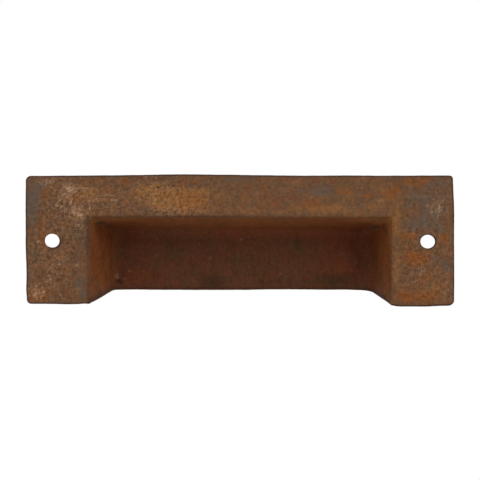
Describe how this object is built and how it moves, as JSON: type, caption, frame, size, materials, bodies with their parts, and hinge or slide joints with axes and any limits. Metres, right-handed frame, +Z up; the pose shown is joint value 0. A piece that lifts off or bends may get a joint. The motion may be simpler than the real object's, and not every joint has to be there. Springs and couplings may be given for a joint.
{
  "type": "cup pull",
  "caption": "Rectangular cast-iron cup pull for a drawer: a flat flange with a screw hole in each ear and a drafted cup, open underneath, that the fingers reach into.",
  "frame": {"origin": "midway between the centres of the two screw holes, on the flat back face that lies against the drawer", "axes": "+X along the width from hole to hole, +Y out of the back face into the drawer front, so the cup stands out towards -Y, +Z up with the cup's opening facing down"},
  "size_m": [0.146, 0.0255, 0.044],
  "materials": {
    "rusted_iron": "sand-cast iron with a sealed, mottled brown rust finish, matt outside, satin and darker inside the cup"
  },
  "bodies": {
    "root": {"cup_pull": "rusted_iron"}
  },
  "joints": []
}
